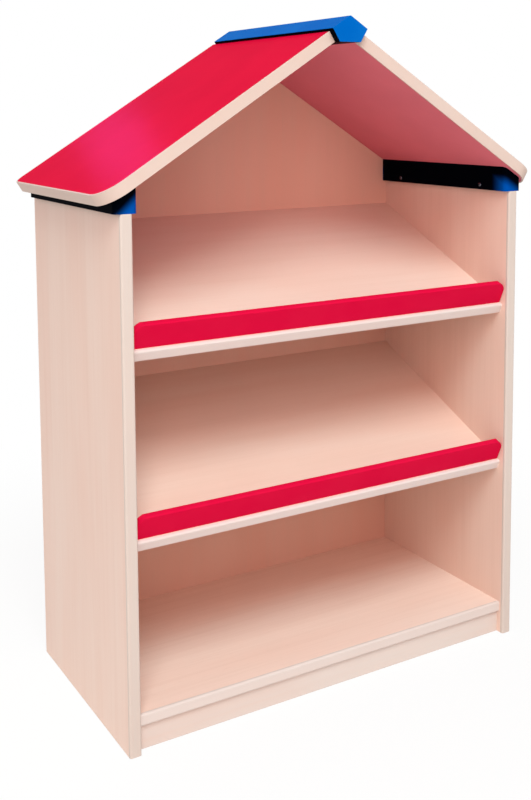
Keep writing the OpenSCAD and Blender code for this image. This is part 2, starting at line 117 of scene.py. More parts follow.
class Tree:
    """A node tree that is written down as calls."""

    COLUMN, ROW = 220, 190

    def __init__(self, nodes):
        self.nodes = nodes

    def node(self, kind, settings=None, inputs=None, out=0):
        """Adds a node, to the right of what it is wired to, and gives one of its outputs."""
        made = self.nodes.nodes.new(kind)
        for name, value in (settings or {}).items():
            setattr(made, name, value)
        column = 0
        for name, value in (inputs or {}).items():
            if isinstance(value, Wire):
                self.nodes.links.new(value.socket, made.inputs[name])
                column = max(column, value.socket.node.location.x + self.COLUMN)
            else:
                made.inputs[name].default_value = value
        row = sum(1 for other in self.nodes.nodes if other.location.x == column)
        made.location = (column, -self.ROW * row)
        return Wire(self, made.outputs[out]) if made.outputs else None


print("sums build nodes from here on")

# %% [markdown]
# ## Where a pattern sits
# Every pattern here reads Object coordinates, which are metres in the bookcase's own frame. A
# Mapping node squeezes them: a pattern that changes 200 times a metre across the grain and twice
# a metre along it is drawn out into fibres. The shift moves each board to its own part of the
# pattern, because two boards never show the same grain. The last helper finds the arrises: the
# Bevel node gives the direction that a rounded edge would have, and where that differs from the
# face's own direction there is an edge close by.


# %% Helpers for patterns
def blank(name):
    """A new material and its empty tree."""
    material = bpy.data.materials.new(name)
    material.use_nodes = True
    material.node_tree.nodes.clear()
    return material, Tree(material.node_tree)


def squeezed(tree, scale, shift=(0, 0, 0)):
    """Places on the bookcase, scaled along each axis and moved."""
    place = tree.node("ShaderNodeTexCoord", out="Object")
    return tree.node("ShaderNodeMapping", {}, {"Vector": place, "Location": shift, "Scale": scale})


def cloud(tree, vector, scale=1.0, detail=2.0, distortion=0.0):
    """Noise from 0 to 1, with most of it near a half."""
    inputs = {"Vector": vector, "Scale": scale, "Detail": detail, "Distortion": distortion}
    return tree.node("ShaderNodeTexNoise", {}, inputs, "Fac")


def ramp(tree, value, low, high, to_low=0.0, to_high=1.0):
    """A smooth step between two limits. It runs downward where low is the larger of the two."""
    inputs = {
        "Value": value,
        "From Min": low,
        "From Max": high,
        "To Min": to_low,
        "To Max": to_high,
    }
    return tree.node("ShaderNodeMapRange", {"interpolation_type": "SMOOTHSTEP"}, inputs)


def blend(tree, amount, first, second):
    """A colour between two others."""
    return tree.node("ShaderNodeMix", {"data_type": "RGBA"}, {0: amount, 6: first, 7: second}, 2)


def paint(tree, height, bump, **sockets):
    """The Principled shader, wired to the output. bump is its strength and its depth in metres."""
    strength, depth = bump
    inputs = {"Height": height, "Distance": depth, "Strength": strength}
    normal = tree.node("ShaderNodeBump", {}, inputs)
    named = {name.replace("_", " "): value for name, value in sockets.items()}
    shader = tree.node("ShaderNodeBsdfPrincipled", {}, {**named, "Normal": normal})
    tree.node("ShaderNodeOutputMaterial", {}, {"Surface": shader})


FACE, EDGE = 0.995, 0.800  # how well the two directions agree on a face and on an edge


def arris(tree, radius):
    """1 on an edge that hands and books rub, fading to 0 a little way in."""
    rounded = tree.node("ShaderNodeBevel", {"samples": 6}, {"Radius": radius})
    flat = tree.node("ShaderNodeNewGeometry", out="Normal")
    dot = {"operation": "DOT_PRODUCT"}
    agree = tree.node("ShaderNodeVectorMath", dot, {0: rounded, 1: flat}, "Value")
    return ramp(tree, agree, FACE, EDGE)


print("pattern helpers ready")

# %% [markdown]
# ## Maple boards
# The boards are maple with a clear satin lacquer. Maple is pale and even: up close it shows fine
# darker fibres, a few short brown flecks, and here and there a wider pink or cream band. An image
# of wood would be the quick way. Noise squeezed along the grain does it with no image, never
# repeats, and follows the board round its edges as the real grain does. Four layers of it lie
# over each other, from wide bands to flecks of a millimetre. The wood is lacquered smooth, so the
# bump of the fibres is faint.

# %% The maple
BLUSH = (0.985, 0.905, 0.880)  # a pinker band is the cream times this
FIBRE, FLECK = (0.710, 0.470, 0.370, 1), (0.600, 0.380, 0.280, 1)
RUBBED = (0.840, 0.700, 0.620, 1)
PER_METRE = {"band": (7, 1.6), "streak": (55, 1.4), "fibre": (420, 6), "fleck": (600, 55)}
STRENGTH = {"band": 0.75, "streak": 0.17, "fibre": 0.12, "fleck": 0.22}
SANDED = (0.25, 0.0002)  # the bump's strength, and its depth in metres
WOOD_ARRIS = 0.0015  # how far in the arrises are rubbed


def maple(name, grain, seed, cream, depth=1.0):
    """Maple of one cream tint, with its grain along axis x, y or z and pinker bands in it. depth
    makes its figure stronger or weaker."""
    material, tree = blank(name)

    def figure(layer, low, high, **noise):
        across, lengthwise = PER_METRE[layer]
        scale = [across] * 3
        scale["xyz".index(grain)] = lengthwise
        shift = (3.1 * seed, 1.7 * seed, 2.3 * seed)
        return ramp(tree, cloud(tree, squeezed(tree, scale, shift), **noise), low, high)

    band = figure("band", 0.30, 0.72, detail=2, distortion=0.6)
    streak = figure("streak", 0.40, 0.75, detail=3, distortion=0.3)
    fibre = figure("fibre", 0.45, 0.75, detail=2)
    fleck = figure("fleck", 0.70, 0.80, detail=1)
    worn = arris(tree, WOOD_ARRIS)

    pink = [part * blush for part, blush in zip(cream, BLUSH)]
    colour = blend(tree, band * (STRENGTH["band"] * depth), (*cream, 1), (*pink, 1))
    colour = blend(tree, streak * (STRENGTH["streak"] * depth), colour, FIBRE)
    colour = blend(tree, fibre * (STRENGTH["fibre"] * depth), colour, FIBRE)
    colour = blend(tree, fleck * (STRENGTH["fleck"] * depth), colour, FLECK)
    colour = blend(tree, worn * 0.25, colour, RUBBED)
    roughness = 0.42 + fibre * 0.06 + worn * 0.08
    height = 1 - (fibre * 0.6 + fleck * 0.4)
    paint(
        tree, height, SANDED, Base_Color=colour, Roughness=roughness, Specular_IOR_Level=0.15
    )
    return material


BOARDS = {
    "side_panel_left": ("z", 1, (0.815, 0.631, 0.542)),
    "side_panel_right": ("z", 2, (0.855, 0.628, 0.530)),
    # the back panel's deeper, pinker cream is painted shade: the same maple, darkened where it lies
    # in shade behind the shelves and under the roof
    "back_panel": ("z", 3, (0.800, 0.468, 0.365)),
    "base_shelf": ("x", 4, (0.895, 0.685, 0.590)),
    "middle_shelf": ("x", 5, (0.800, 0.578, 0.488)),
    "upper_shelf": ("x", 6, (0.790, 0.590, 0.498)),
    "plinth": ("x", 7, (0.685, 0.590, 0.540)),
    "roof_board_left": ("y", 8, (0.800, 0.625, 0.545)),
    "roof_board_right": ("y", 9, (0.800, 0.625, 0.545)),
}
finish_of = {}
for node, (grain, seed, cream) in BOARDS.items():
    finish_of[node] = maple(f"maple {node.replace('_', ' ')}", grain, seed, cream)
print(f"{len(BOARDS)} maple boards")

# %% [markdown]
# ## Solid edgings
# A veneered board shows its core at its edges, so the maker glues a strip of solid maple there.
# Its fibres run along the strip, whichever way the board's own run, and its figure is half as
# strong.

# %% The edgings
EDGING_DEPTH = 0.5
EDGINGS = {
    "side_edging_left": ("z", 11, (0.615, 0.525, 0.470)),
    "side_edging_right": ("z", 12, (0.615, 0.525, 0.470)),
    "base_edging": ("x", 13, (0.685, 0.590, 0.545)),
    "middle_edging": ("x", 14, (0.710, 0.610, 0.580)),
    "upper_edging": ("x", 15, (0.700, 0.600, 0.565)),
    "roof_edging_left": ("y", 16, (0.640, 0.505, 0.440)),
    "roof_edging_right": ("y", 17, (0.640, 0.505, 0.440)),
}
for node, (grain, seed, cream) in EDGINGS.items():
    finish_of[node] = maple(f"edging {node.replace('_', ' ')}", grain, seed, cream, EDGING_DEPTH)
print(f"{len(EDGINGS)} solid edgings")

# %% [markdown]
# ## Lacquer
# The book stops, the eave blocks and the ridge beam are sprayed with a coloured lacquer. A flat
# colour would do for a toy, but sprayed lacquer is never quite flat: it dries with a fine dimple,
# like the skin of an orange, and it thins at the arrises, where the colour is a touch lighter and
# duller. Soft noise of about 4 mm gives the dimple, and the edge mask gives the thinning. On the
# blue lacquers the lighter arris colour is also a painted highlight on the rounded edges. The
# lacquer mirrors hardly anything, because a pale room in it would grey the colour.

# %% The lacquers
# near-black painted shade, laid over the blue where the blocks and the beam lie in shade
PAINTED_SHADE_BLACK = (0.0004, 0.0010, 0.0030, 1)
ORANGE_PEEL = (0.12, 0.0004)
LACQUER_ARRIS = 0.0012


def lacquer(name, colour, thin_and_highlit, seed, dark=None):
    """Sprayed colour, thin at the arrises. dark is a function that says where painted shade lies.
    """
    material, tree = blank(name)
    here = squeezed(tree, (1, 1, 1), (seed, 2 * seed, 3 * seed))
    drift = cloud(tree, here, scale=14, detail=2)
    dimple = cloud(tree, here, scale=260, detail=1)
    dust = ramp(tree, cloud(tree, here, scale=900, detail=1), 0.72, 0.82)
    worn = arris(tree, LACQUER_ARRIS)
    tone = blend(tree, ramp(tree, drift, 0.3, 0.7) * 0.20, colour, thin_and_highlit)
    # on the blue lacquers this lighter arris colour is partly thinned lacquer and partly a painted
    # highlight
    tone = blend(tree, worn * 0.35, tone, thin_and_highlit)
    # painted shade: where the mask is 1 the colour turns near-black
    if dark:
        tone = blend(tree, dark(tree), tone, PAINTED_SHADE_BLACK)
    roughness = 0.28 + drift * 0.08 + worn * 0.12
    height = dimple + dust * 0.3
    paint(
        tree, height, ORANGE_PEEL, Base_Color=tone, Roughness=roughness, Specular_IOR_Level=0.004
    )
    return material


print("lacquer ready")

# %% [markdown]
# ## Painted shade on the blue lacquer
# The eave blocks and the ridge beam carry painted shade. Their long faces, the faces that look
# down and a band under the roof, where the roof's shadow falls, are painted nearly black, and the
# blue shows on the ends and on top. A mask that follows the solid does this. On a block it is read
# from the distance to the block's ends and from the distance below the roof's slope, and on the
# beam from the way that a face looks. Both blocks are alike but mirrored, so the right one's box
# serves for the two.

# %% The painted shade
BARE_END, BACK_WRAP, FADE = 0.003, 0.012, 0.026  # metres from an end, and down from the roof
LEVEL, DOWNWARD = -0.10, -0.30  # how far up a face looks where the painted shade starts and where it is full

block_low, block_high = (Vector(corner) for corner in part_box("eave_block_right"))
roof_low, roof_high = (Vector(corner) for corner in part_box("roof_liner_right"))
slope = (roof_high.z - roof_low.z) / (roof_high.x - roof_low.x)


def painted_shade_on_block(tree, reach, lean, wrap):
    """Painted shade: 1 on an eave block's long faces and in the roof's shadow under it, 0 low on
    its two ends. reach is how far the painted shadow comes down from the roof, lean how much
    further outward, wrap how far from the front end it is full."""
    place = tree.node("ShaderNodeTexCoord", out="Object")
    across, run, height = (
        tree.node("ShaderNodeSeparateXYZ", {}, {"Vector": place}, axis) for axis in "XYZ"
    )
    out = tree.node("ShaderNodeMath", {"operation": "ABSOLUTE"}, {0: across})
    front, back = block_low.y, block_high.y
    from_front = ramp(tree, run, front + BARE_END, front + wrap)
    from_back = ramp(tree, run, back - BARE_END, back - BACK_WRAP)
    below_roof = block_high.z - (out - block_low.x) * slope - height
    outward = (out - block_low.x) * lean
    under_roof = ramp(tree, below_roof - outward, reach, reach - FADE)
    either = {0: from_front * from_back, 1: under_roof}
    return tree.node("ShaderNodeMath", {"operation": "MAXIMUM"}, either)


def painted_shade_on_beam(tree):
    """Painted shade: 1 on the ridge beam's faces that look down."""
    normal = tree.node("ShaderNodeNewGeometry", out="Normal")
    up = tree.node("ShaderNodeSeparateXYZ", {}, {"Vector": normal}, "Z")
    return ramp(tree, up, LEVEL, DOWNWARD)


print(f"two masks; the roof falls {math.degrees(math.atan(slope)):.1f} degrees")

# %% [markdown]
# ## Red and blue
# The two book stops are red. The beam is a bright blue. The blocks under the eaves are the same
# blue paint, painted darker as shade, because they stand in the shade of the roof. The painted
# shade on them differs too: on the left block the roof's painted shadow leans outward, so that the
# blue is left as a triangle in the inner corner, and on the right block it fades out more slowly
# towards the ends.

# %% Spray the pieces
RED, THIN_RED = (0.640, 0.004, 0.044, 1), (0.700, 0.015, 0.060, 1)
# the thin blues are lighter than thinned paint alone: at the arrises they are also a painted
# highlight
BLUE, BLUE_THIN_AND_HIGHLIT = (0.000, 0.108, 0.440, 1), (0.010, 0.190, 0.560, 1)
# the blocks' blue is the beam's paint darkened as painted shade
SHADED_BLUE, SHADED_BLUE_THIN_AND_HIGHLIT = (0.000, 0.062, 0.330, 1), (0.008, 0.130, 0.450, 1)
# seed, and where the painted shade lies: how far the roof's painted shadow reaches down, how much
# it leans outward, and how far from the front end it is full
PAINTED_SHADES = {
    "eave_block_left": (32, {"reach": 0.034, "lean": 0.30, "wrap": 0.020}),
    "eave_block_right": (33, {"reach": 0.040, "lean": 0.0, "wrap": 0.042}),
}

for seed, node in enumerate(("middle_book_stop", "upper_book_stop"), start=21):
    finish_of[node] = lacquer(f"red lacquer {node.replace('_', ' ')}", RED, THIN_RED, seed)
finish_of["ridge_beam"] = lacquer("blue lacquer ridge beam", BLUE, BLUE_THIN_AND_HIGHLIT, 31, painted_shade_on_beam)
for node, (seed, shade_settings) in PAINTED_SHADES.items():
    name = f"blue lacquer {node.replace('_', ' ')}"
    dark = functools.partial(painted_shade_on_block, **shade_settings)
    finish_of[node] = lacquer(name, SHADED_BLUE, SHADED_BLUE_THIN_AND_HIGHLIT, seed, dark)
print("red and blue lacquer")

# %% [markdown]
# ## Laminate on the roof
# The roof boards carry a sheet of red laminate, pressed paper in resin with a fine satin grain
# that is moulded into it. Under the roof the sheet is a duller, pinker red. A thin clear coat
# stands for the resin, and it alone is glossy. Faint scuffs cross the sheet where things were
# slid along it.

# %% The laminates
ROOF_RED, LINER_RED = (0.660, 0.003, 0.036, 1), (0.700, 0.180, 0.227, 1)
SATIN_GRAIN = (0.10, 0.0002)


def laminate(name, colour, seed):
    """A sheet of laminate in one red, a little uneven and scuffed."""
    material, tree = blank(name)
    here = squeezed(tree, (1, 1, 1), (seed, 2 * seed, 3 * seed))
    drift = cloud(tree, here, scale=6, detail=3)
    pearl = cloud(tree, here, scale=1400, detail=2)
    drawn_out = squeezed(tree, (90, 900, 90), (seed, 0, 0))
    scuff = ramp(tree, cloud(tree, drawn_out, detail=2), 0.62, 0.80)
    darker = [part * 0.88 for part in colour[:3]] + [1]
    paler = [part * 0.9 + 0.03 for part in colour[:3]] + [1]
    tone = blend(tree, ramp(tree, drift, 0.3, 0.7) * 0.5, colour, darker)
    tone = blend(tree, scuff * 0.15, tone, paler)
    roughness = 0.45 + drift * 0.06 + scuff * 0.1
    resin = {"Specular_IOR_Level": 0.003, "Coat_Weight": 0.05, "Coat_Roughness": 0.22}
    paint(tree, pearl, SATIN_GRAIN, Base_Color=tone, Roughness=roughness, **resin)
    return material


sheets = ("roof_skin_left", "roof_skin_right", "roof_liner_left", "roof_liner_right")
for seed, node in enumerate(sheets, start=41):
    colour = LINER_RED if "liner" in node else ROOF_RED
    finish_of[node] = laminate(f"red laminate {node.replace('_', ' ')}", colour, seed)
print(f"{len(sheets)} sheets of laminate")

# %% [markdown]
# ## Beech and metal
# Dowels are beech, warmer and darker than maple, with short dark dashes. The cam locks are die
# cast zinc, dull and slightly grainy. The hidden screws and bolts are steel with a thin zinc
# plating, and the screws in the blocks are dark and polished, so that only a small bright spot
# gives them away.

# %% Dowels, cams and screws
BEECH, BEECH_PALE, BEECH_DASH = (0.62, 0.40, 0.24, 1), (0.70, 0.48, 0.30, 1), (0.40, 0.22, 0.12, 1)
ZINC, ZINC_DULL = (0.50, 0.51, 0.53, 1), (0.36, 0.36, 0.38, 1)
PLATED, PLATED_DULL = (0.68, 0.69, 0.71, 1), (0.52, 0.52, 0.54, 1)
DARK_STEEL, DARK_STEEL_DULL = (0.110, 0.128, 0.156, 1), (0.080, 0.092, 0.112, 1)
OPEN_GRAIN, FINE_GRAIN = (0.3, 0.0002), (0.15, 0.0001)


def specks(tree, per_metre, detail):
    """Noise that is the same along all three axes."""
    return cloud(tree, squeezed(tree, [per_metre] * 3), detail=detail)


def beech(name):
    """Beech with short dark dashes."""
    material, tree = blank(name)
    drift = specks(tree, 300, detail=3)
    dash = ramp(tree, specks(tree, 900, detail=1), 0.6, 0.7)
    tone = blend(tree, drift, BEECH, BEECH_PALE)
    tone = blend(tree, dash * 0.6, tone, BEECH_DASH)
    paint(tree, drift + dash, OPEN_GRAIN, Base_Color=tone, Roughness=0.6 + drift * 0.1)
    return material


def metal(name, bright, dull, rough):
    """A metal with a fine grain and dull stains."""
    material, tree = blank(name)
    grain = specks(tree, 1500, detail=2)
    stain = ramp(tree, specks(tree, 220, detail=3), 0.4, 0.7)
    tone = blend(tree, stain, bright, dull)
    roughness = rough + stain * 0.12
    paint(tree, grain, FINE_GRAIN, Base_Color=tone, Roughness=roughness, Metallic=1.0)
    return material


for node in ("shelf_dowels", "plinth_dowels", "eave_dowels", "ridge_dowels"):
    finish_of[node] = beech("beech dowels")
finish_of["cam_locks"] = metal("zinc cam locks", ZINC, ZINC_DULL, 0.42)
for node in ("connecting_bolts", "stop_screws", "back_screws"):
    finish_of[node] = metal("plated steel", PLATED, PLATED_DULL, 0.26)
finish_of["block_screws"] = metal("dark steel", DARK_STEEL, DARK_STEEL_DULL, 0.10)
print(f"beech, zinc and steel; {len(finish_of)} finishes in all")

# %% [markdown]
# ## Where the fittings sit
# The screws and the cam locks come in sets, and each set is one solid with many loose parts. The
# place of every screw can be measured from it: the largest flat face of a part is the face that
# it sits by. A screw that moves in the CAD drawing then moves here too.

# %% Measure the fittings
WELD = 0.00001  # metres, and points that are nearer than this become one
ABOUT_AS_LARGE = 0.9


def merged(node):
    """A solid as one surface, because the CAD program hands it over as loose triangles."""
    shape = bmesh.new()
    shape.from_mesh(solids[node].data)
    bmesh.ops.remove_doubles(shape, verts=shape.verts, dist=WELD)
    shape.faces.ensure_lookup_table()
    return shape


def loose_parts(shape):
    """Lists of faces that hang together."""
    seen, parts = set(), []
    for first in shape.faces:
        if first.index in seen:
            continue
        seen.add(first.index)
        part = [first]
        for face in part:
            for edge in face.edges:
                for beside in edge.link_faces:
                    if beside.index not in seen:
                        seen.add(beside.index)
                        part.append(beside)
        parts.append(part)
    return parts


def seat(part):
    """The middle and the direction of a part's largest flat face. Of two that are about as large,
    it takes the one that looks down the most."""
    flats = {}
    for face in part:
        off = face.normal.dot(face.calc_center_median())
        key = (*(round(value, 2) for value in face.normal), round(off, 4))
        flats.setdefault(key, []).append(face)
    areas = {key: sum(face.calc_area() for face in faces) for key, faces in flats.items()}
    large = [key for key in flats if areas[key] > ABOUT_AS_LARGE * max(areas.values())]
    chosen = min(large, key=lambda key: key[2])
    faces = flats[chosen]
    moment = sum((face.calc_center_median() * face.calc_area() for face in faces), Vector())
    return moment / areas[chosen], faces[0].normal.copy()


def seats(node):
    """Where each fitting of a set sits, and which way its face looks."""
    shape = merged(node)
    found = [seat(part) for part in loose_parts(shape)]
    shape.free()
    return found


fitting_sets = ("block_screws", "back_screws", "stop_screws", "cam_locks")
seats_of = {node: seats(node) for node in fitting_sets}
for node, found in seats_of.items():
    print(f"{node}: {len(found)} places, the first at {found[0][0] * 1000} mm")

# %% [markdown]
# ## Turned fittings
# A screw is turned and a cam lock is cast, and both are round, so an outline spun about the Z
# axis draws each one. The outline is a list of radii and heights in millimetres, from the tip to
# the middle of the head, with Z 0 at the face of the wood. A thread is drawn as rings, which is
# enough for a part that stands inside the wood. All the screws share one shank and differ in
# length and head.


# %% Spin the outlines
def spun(name, outline, sides=32):
    """Spins an outline of radii and heights. A radius of 0 is a single point in the middle."""
    shape = bmesh.new()
    rows = []
    for radius, height in outline:
        ring = []
        for step in range(sides if radius else 1):
            angle = 2 * math.pi * step / sides
            place = (radius * math.cos(angle), radius * math.sin(angle), height)
            ring.append(shape.verts.new([value / 1000 for value in place]))
        rows.append(ring)
    for low, high in zip(rows, rows[1:]):
        for step in range(sides):
            after = (step + 1) % sides
            corners = [low[step % len(low)], low[after % len(low)]]
            corners += [high[after % len(high)], high[step % len(high)]]
            shape.faces.new(list(dict.fromkeys(corners)))
    bmesh.ops.recalc_face_normals(shape, faces=shape.faces)
    mesh = bpy.data.meshes.new(name)
    shape.to_mesh(mesh)
    shape.free()
    return bpy.data.objects.new(name, mesh)


CORE, CREST, PITCH = 1.4, 2.0, 1.75


def threaded(start, end):
    """The rings of a thread, from one height up to another."""
    rings = []
    for turn in range(int((end - start) / PITCH)):
        height = start + turn * PITCH
        rings += [(CORE, height), (CREST, height + PITCH * 0.3), (CORE, height + PITCH * 0.6)]
    return rings


def shank(length, neck):
    """A point and a thread that stops short of the head by the length of the neck."""
    return [(0, -length), (0.6, 1 - length), *threaded(2 - length, -neck)]


def dome(radius, height, steps=6):
    """A domed head, from its rim up to its middle."""
    angles = [math.pi / 2 * step / steps for step in range(steps)]
    rim = [(radius * math.cos(angle), height * math.sin(angle)) for angle in angles]
    return rim + [(0, height)]


PAN_HEIGHT = 2.6
PAN_HEAD = [(CREST, -2), (CREST, 0), *dome(4.5, PAN_HEIGHT)]
SUNK_HEAD = [(CREST, -2.2), (3.9, -0.15), (3.9, 0), (0, 0)]
CAM_FOOT = [(0, -14), (7.1, -14), (7.4, -13.7)]
CAM_RIM = [(7.4, -0.9), (7.5, -0.6), (7.5, -0.2), (7.2, 0), (0, 0)]

pan_screw = spun("pan screw", shank(26, 3) + PAN_HEAD)
back_screw = spun("sunk screw", shank(25, 4) + SUNK_HEAD)
stop_screw = spun("long sunk screw", shank(35, 5) + SUNK_HEAD)
cam_lock = spun("cam lock", CAM_FOOT + CAM_RIM, sides=40)
for fitting in (pan_screw, back_screw, stop_screw, cam_lock):
    print(f"{fitting.name} of {len(fitting.data.vertices)} points")

# %% [markdown]
# ## Setting the fittings
# Four screws could be copied by hand, but thirty six fittings are a rule: one at each place,
# square to the wood, with its slot turned at random, because nobody lines up the slots of hidden
# screws. A Geometry Nodes tree holds that rule. It cuts the cross slot out of one head, sets a
# copy at each point, turns it, and then makes the copies real, so that they are a plain mesh. The
# class from the shaders writes this tree too, with named inputs added.


# %% The tree that sets them
class Geometry(Tree):
    """A Geometry Nodes tree with named inputs."""

    def __init__(self, name, inputs):
        group = bpy.data.node_groups.new(name, "GeometryNodeTree")
        super().__init__(group)
        self.identifiers = {}
        for label, kind in {"Geometry": "NodeSocketGeometry", **inputs}.items():
            item = group.interface.new_socket(name=label, in_out="INPUT", socket_type=kind)
            self.identifiers[label] = item.identifier
        label, kind = "Geometry", "NodeSocketGeometry"
        group.interface.new_socket(name=label, in_out="OUTPUT", socket_type=kind)
        self.given = group.nodes.new("NodeGroupInput")

    def input(self, label):
        return Wire(self, self.given.outputs[label])

    def finish(self, geometry, material):
        """Makes the copies real, gives them their material and wires them to the output."""
        real = self.node("GeometryNodeRealizeInstances", {}, {"Geometry": geometry})
        done = self.node("GeometryNodeSetMaterial", {}, {"Geometry": real, "Material": material})
        self.nodes.links.new(done.socket, self.nodes.nodes.new("NodeGroupOutput").inputs[0])


setter = Geometry(
    "set fittings",
    {
        "Fitting": "NodeSocketObject",
        "Slot length": "NodeSocketFloat",
        "Slot width": "NodeSocketFloat",
        "Slot depth": "NodeSocketFloat",
        "Head height": "NodeSocketFloat",
        "Seed": "NodeSocketInt",
        "Material": "NodeSocketMaterial",
    },
)


def slot_bar(tree, along, across):
    """One bar of the cross, centred on the top of the head."""
    tall = tree.input("Slot depth") * 2
    size = tree.node("ShaderNodeCombineXYZ", {}, {"X": along, "Y": across, "Z": tall})
    bar = tree.node("GeometryNodeMeshCube", {}, {"Size": size})
    lift = tree.node("ShaderNodeCombineXYZ", {}, {"Z": tree.input("Head height")})
    return tree.node("GeometryNodeTransform", {}, {"Geometry": bar, "Translation": lift})


length, width = setter.input("Slot length"), setter.input("Slot width")
head = setter.node("GeometryNodeObjectInfo", {}, {"Object": setter.input("Fitting")}, "Geometry")
for bar in (slot_bar(setter, length, width), slot_bar(setter, width, length)):
    both = {"Mesh 1": head, "Mesh 2": bar}
    head = setter.node("GeometryNodeMeshBoolean", {"operation": "DIFFERENCE"}, both)

vectors, numbers = {"data_type": "FLOAT_VECTOR"}, {"data_type": "FLOAT"}
outward = setter.node("GeometryNodeInputNamedAttribute", vectors, {"Name": "outward"})
square = setter.node("FunctionNodeAlignRotationToVector", {"axis": "Z"}, {"Vector": outward})
full_turn = {2: 0.0, 3: 2 * math.pi, "Seed": setter.input("Seed")}
angle = setter.node("FunctionNodeRandomValue", numbers, full_turn, 1)
about_z = setter.node("ShaderNodeCombineXYZ", {}, {"Z": angle})
spin = setter.node("FunctionNodeEulerToRotation", {}, {"Euler": about_z})
local = {"rotation_space": "LOCAL"}
turned = setter.node("FunctionNodeRotateRotation", local, {"Rotation": square, "Rotate By": spin})
placed = {"Points": setter.input("Geometry"), "Instance": head, "Rotation": turned}
copies = setter.node("GeometryNodeInstanceOnPoints", {}, placed)
setter.finish(copies, setter.input("Material"))
print(f"{len(setter.nodes.nodes)} nodes set a fitting")

# %% [markdown]
# ## A point for every fitting
# The tree needs a mesh of points, and each point needs to know which way is outward. The measured
# places give both: a bare mesh holds the points, and a vector attribute holds the directions. The
# tree runs as a modifier, its result is kept as a plain mesh, and the modifier goes again,
# because a plain mesh is what other programs can read. Cutting a slot can leave one edge twice in
# the same place, and validating the mesh drops the spare one. The block screws' measured faces
# look into the wood, so their direction is turned round. Each set then takes the place of its
# solid.

# %% Set the screws and the cam locks
CREASE = 35  # degrees, and a steeper edge than this stays sharp
FITTINGS = {  # fitting, side, the slot's length, width and depth in mm, the head's height, seed
    "block_screws": (pan_screw, -1, 5.0, 1.2, 1.5, PAN_HEIGHT, 1),
    "back_screws": (back_screw, 1, 4.6, 1.1, 1.6, 0.0, 2),
    "stop_screws": (stop_screw, 1, 4.6, 1.1, 1.6, 0.0, 3),
    "cam_locks": (cam_lock, 1, 7.0, 1.6, 2.5, 0.0, 4),
}


def shade_smooth(mesh):
    """Smooth faces, with the sharp edges left as they are marked."""
    for face in mesh.polygons:
        face.use_smooth = True


def adopted(name, mesh, node):
    """Shows a mesh as the piece that takes the place of a solid."""
    piece = bpy.data.objects.new(name, mesh)
    bpy.context.collection.objects.link(piece)
    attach(piece, "root")
    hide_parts(node)
    return piece


def grown(name, points, tree, values):
    """Runs a tree on a mesh of points and keeps the result as a plain mesh."""
    holder = bpy.data.objects.new(f"{name} points", points)
    bpy.context.collection.objects.link(holder)
    rule = holder.modifiers.new("rule", "NODES")
    rule.node_group = tree.nodes
    for label, value in values.items():
        rule[tree.identifiers[label]] = value
    bpy.context.view_layer.update()
    seen = holder.evaluated_get(bpy.context.evaluated_depsgraph_get())
    mesh = bpy.data.meshes.new_from_object(seen)
    mesh.validate()
    bpy.data.objects.remove(holder)
    mesh.name = name
    shade_smooth(mesh)
    mesh.set_sharp_from_angle(angle=math.radians(CREASE))
    return mesh


def points_at(name, places):
    """A mesh of points that know which way is outward."""
    mesh = bpy.data.meshes.new(name)
    mesh.from_pydata([place for place, outward in places], [], [])
    facing = mesh.attributes.new("outward", "FLOAT_VECTOR", "POINT")
    for datum, (place, outward) in zip(facing.data, places):
        datum.vector = outward
    return mesh


for node, (fitting, side, length, width, depth, height, seed) in FITTINGS.items():
    places = [(middle, direction * side) for middle, direction in seats_of[node]]
    bpy.context.collection.objects.link(fitting)
    values = {
        "Fitting": fitting,
        "Slot length": length / 1000,
        "Slot width": width / 1000,
        "Slot depth": depth / 1000,
        "Head height": height / 1000,
        "Seed": seed,
        "Material": finish_of[node],
    }
    mesh = grown(f"{node}_set", points_at(node, places), setter, values)
    piece = adopted(f"{node}_set", mesh, node)
    bpy.data.objects.remove(fitting)
    print(f"{piece.name}: {len(places)} fittings, {len(piece.data.polygons)} faces")

# %% [markdown]
# ## Softened boards
# No board leaves a workshop with a knife edge: sandpaper takes about half a millimetre off every
# arris, and that is where a board catches the light. The solids have sharp arrises, so each one
# is copied, its loose triangles are merged into whole faces, and a Bevel modifier rounds it. Only
# the free arrises are rounded. Where a board touches its neighbour the joint stays tight, and a
# search tree over each of the solids tells which is which.

# %% Find the free arrises
TOUCH = 0.0004  # metres, and a surface that is nearer than this touches


def search_tree(node):
    """The faces of a solid, ready for the question of what is near a point."""
    mesh = solids[node].data
    points = [vertex.co for vertex in mesh.vertices]
    return BVHTree.FromPolygons(points, [face.vertices for face in mesh.polygons])


search_trees = {node: search_tree(node) for node in solids}


def is_free(edge, node):
    """True where most of an edge is clear of every other solid."""
    start, end = (vertex.co for vertex in edge.verts)
    others = [tree for name, tree in search_trees.items() if name != node]
    touching = 0
    for step in (0.1, 0.5, 0.9):
        point = start.lerp(end, step)
        touching += any(tree.find_nearest(point, TOUCH)[0] is not None for tree in others)
    return touching < 2


print(f"{len(search_trees)} search trees")

# %% [markdown]
# ## Rounding what is free
# A Bevel modifier could round every edge of a board, but then each joint would show a groove.
# Here it rounds by weight: an arris that is sharp, long enough and free gets weight 1, and the
# others get none. The Weighted Normal modifier then keeps the large faces flat in the light, and
# lets only the narrow rounded strips turn it. The dowels and the bolts lie inside the wood, so
# they stay as they are and only get their finish.

# %% Soften the boards
SANDED_WIDTH, SHORTEST = 0.0006, 0.0025  # metres: the rounding, and the shortest arris to get one
FLAT, SHARP = math.radians(0.5), math.radians(32)


